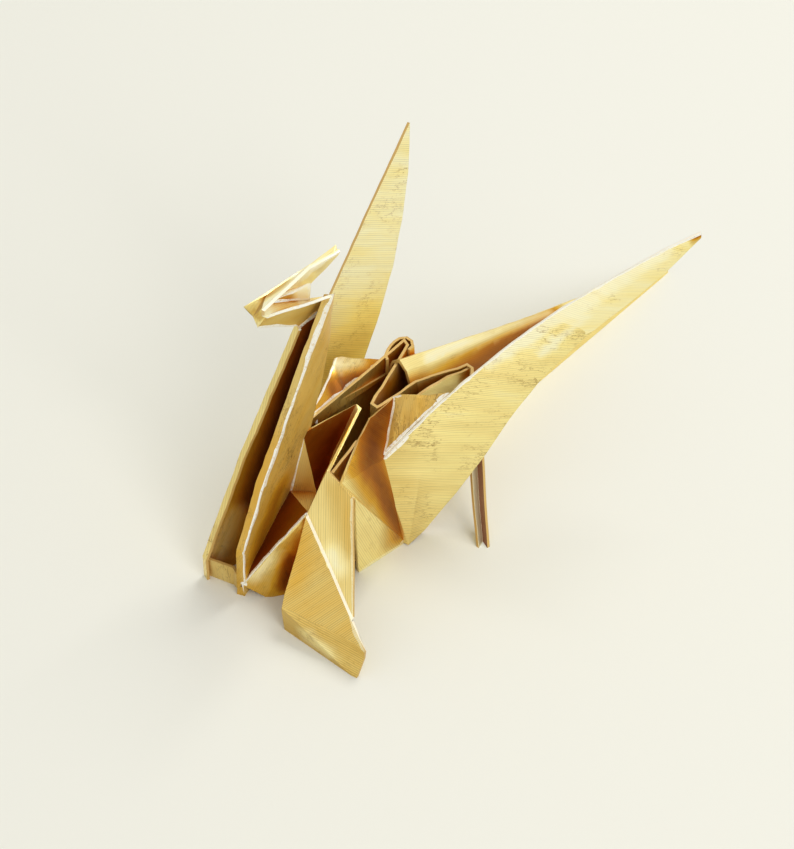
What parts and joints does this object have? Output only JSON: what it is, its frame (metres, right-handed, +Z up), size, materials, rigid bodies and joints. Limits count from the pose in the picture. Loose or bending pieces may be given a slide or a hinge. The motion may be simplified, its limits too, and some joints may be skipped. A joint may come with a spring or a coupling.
{
  "type": "origami crane",
  "caption": "Small folded foil-paper crane with raised wings, a pleated open body, a folded head, a long tail and splayed legs.",
  "frame": {"origin": "centre of the bounding box in plan, on the surface that the crane stands on", "axes": "+Z up; the head points to -Y and the tail runs back to +Y, which is the longest extent; the front leg and the lower wing are on the +X side"},
  "size_m": [0.0262, 0.0586, 0.0309],
  "materials": {
    "foil_paper": "gold metallic foil with fine parallel lines and brown worn patches"
  },
  "bodies": {
    "root": {"folded_sheet": "foil_paper"}
  },
  "joints": []
}
